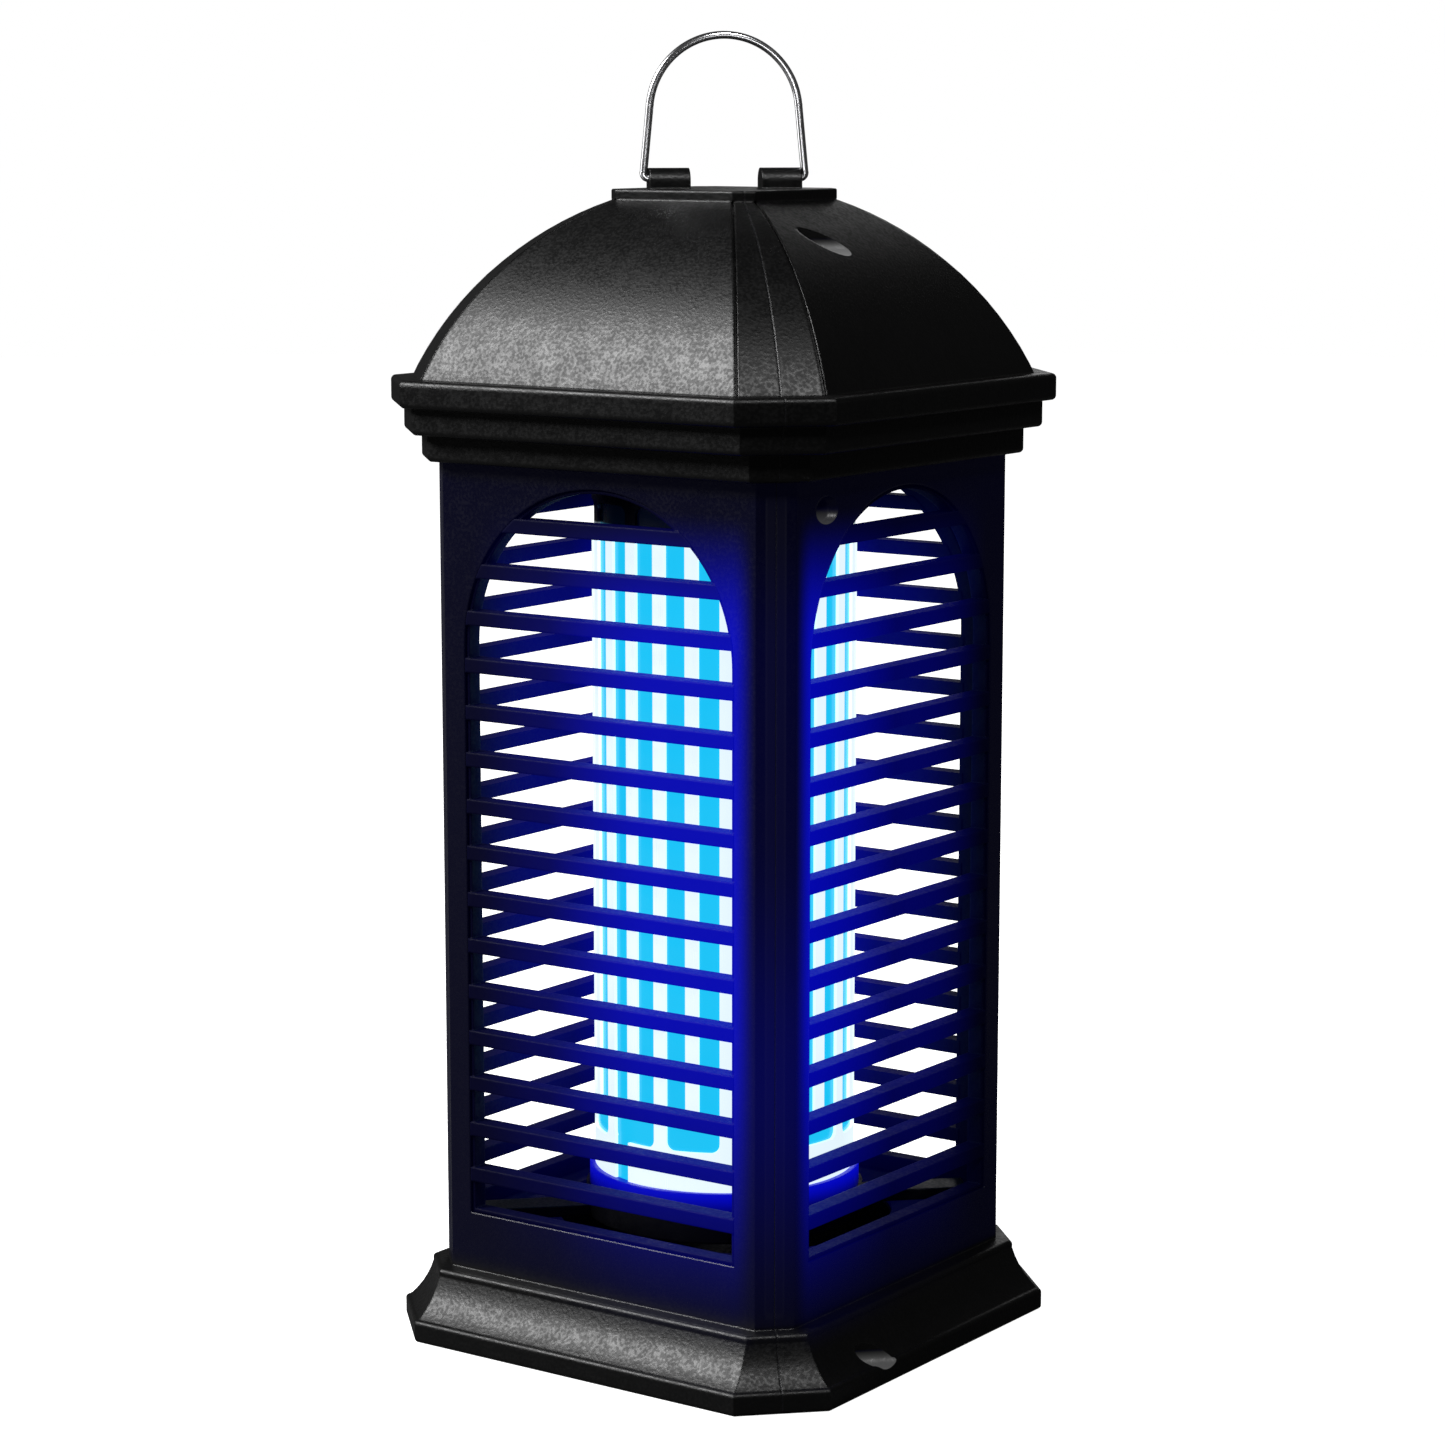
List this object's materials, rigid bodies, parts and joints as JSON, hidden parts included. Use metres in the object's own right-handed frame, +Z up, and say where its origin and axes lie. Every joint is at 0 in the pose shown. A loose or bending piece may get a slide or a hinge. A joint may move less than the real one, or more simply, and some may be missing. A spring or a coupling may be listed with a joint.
{
  "type": "electric bug zapper",
  "caption": "Lantern-shaped electric insect killer with arched louvre windows, a lit tube inside a cylindrical grid, a wire hanging bail and a pull-down tray.",
  "frame": {"origin": "middle of the base, on the plane that the rim stands on", "axes": "+Z up through the middle of the housing; +X and +Y through the middles of two neighbouring windows. The housing is split on the upright plane x + y = 0, and the bail's pivot lies along (1, 1, 0)."},
  "size_m": [0.1382, 0.1382, 0.3398],
  "materials": {
    "housing_plastic": "fine-grained semi-matt moulding",
    "louvre_plastic": "semi-matt moulding",
    "tray_plastic": "semi-matt moulding",
    "screw_steel": "zinc plated",
    "bail_wire": "bright plated wire",
    "grid_metal": "bright stamped sheet",
    "light_sleeve": "translucent tube, lit from inside",
    "led_aluminium": "extruded",
    "strip_white": "white solder mask",
    "lamp_chip": "lit lamp chip",
    "insulator_white": "white insulating moulding",
    "board_green": "solder mask",
    "ferrite": "sintered",
    "coil_tape": "tape over the winding",
    "capacitor_film": "dipped",
    "diode_black": "moulded",
    "resistor_body": "lacquered",
    "fuse_black": "moulded",
    "inlet_plastic": "moulded",
    "pin_metal": "plated",
    "lead_rubber": "insulated lead"
  },
  "bodies": {
    "housing": {"left_shell": "housing_plastic", "right_shell": "housing_plastic", "shell_screws": "screw_steel", "louvre_front": "louvre_plastic", "louvre_right": "louvre_plastic", "louvre_back": "louvre_plastic", "louvre_left": "louvre_plastic", "light_sleeve": "light_sleeve", "led_core": "led_aluminium", "led_strips": "strip_white", "led_chips": "lamp_chip", "lamp_holder": "insulator_white", "lamp_foot": "insulator_white", "upper_grid_comb": "grid_metal", "lower_grid_comb": "grid_metal", "upper_insulator": "insulator_white", "lower_insulator": "insulator_white", "feed_rod": "screw_steel", "lamp_support": "housing_plastic", "divider_plate": "housing_plastic", "divider_screws": "screw_steel", "circuit_board": "board_green", "board_screws": "screw_steel", "transformer_core": "ferrite", "transformer_coil": "coil_tape", "reservoir_capacitors": "capacitor_film", "rectifier_diodes": "diode_black", "bleed_resistors": "resistor_body", "fuse_holder": "fuse_black", "power_inlet": "inlet_plastic", "inlet_pins": "pin_metal", "inlet_leads": "lead_rubber"},
    "bail": {"hanging_bail": "bail_wire"},
    "tray": {"collecting_tray": "tray_plastic"}
  },
  "joints": [
    {"name": "bail_swing", "type": "hinge", "parent": "housing", "child": "bail", "pos_m": [0, 0, 0.3027], "axis": [0.7071, 0.7071, 0], "range_deg": [-95, 95]},
    {"name": "tray_drop", "type": "slide", "parent": "housing", "child": "tray", "axis": [0, 0, -1], "range_m": [0, 0.035]}
  ]
}
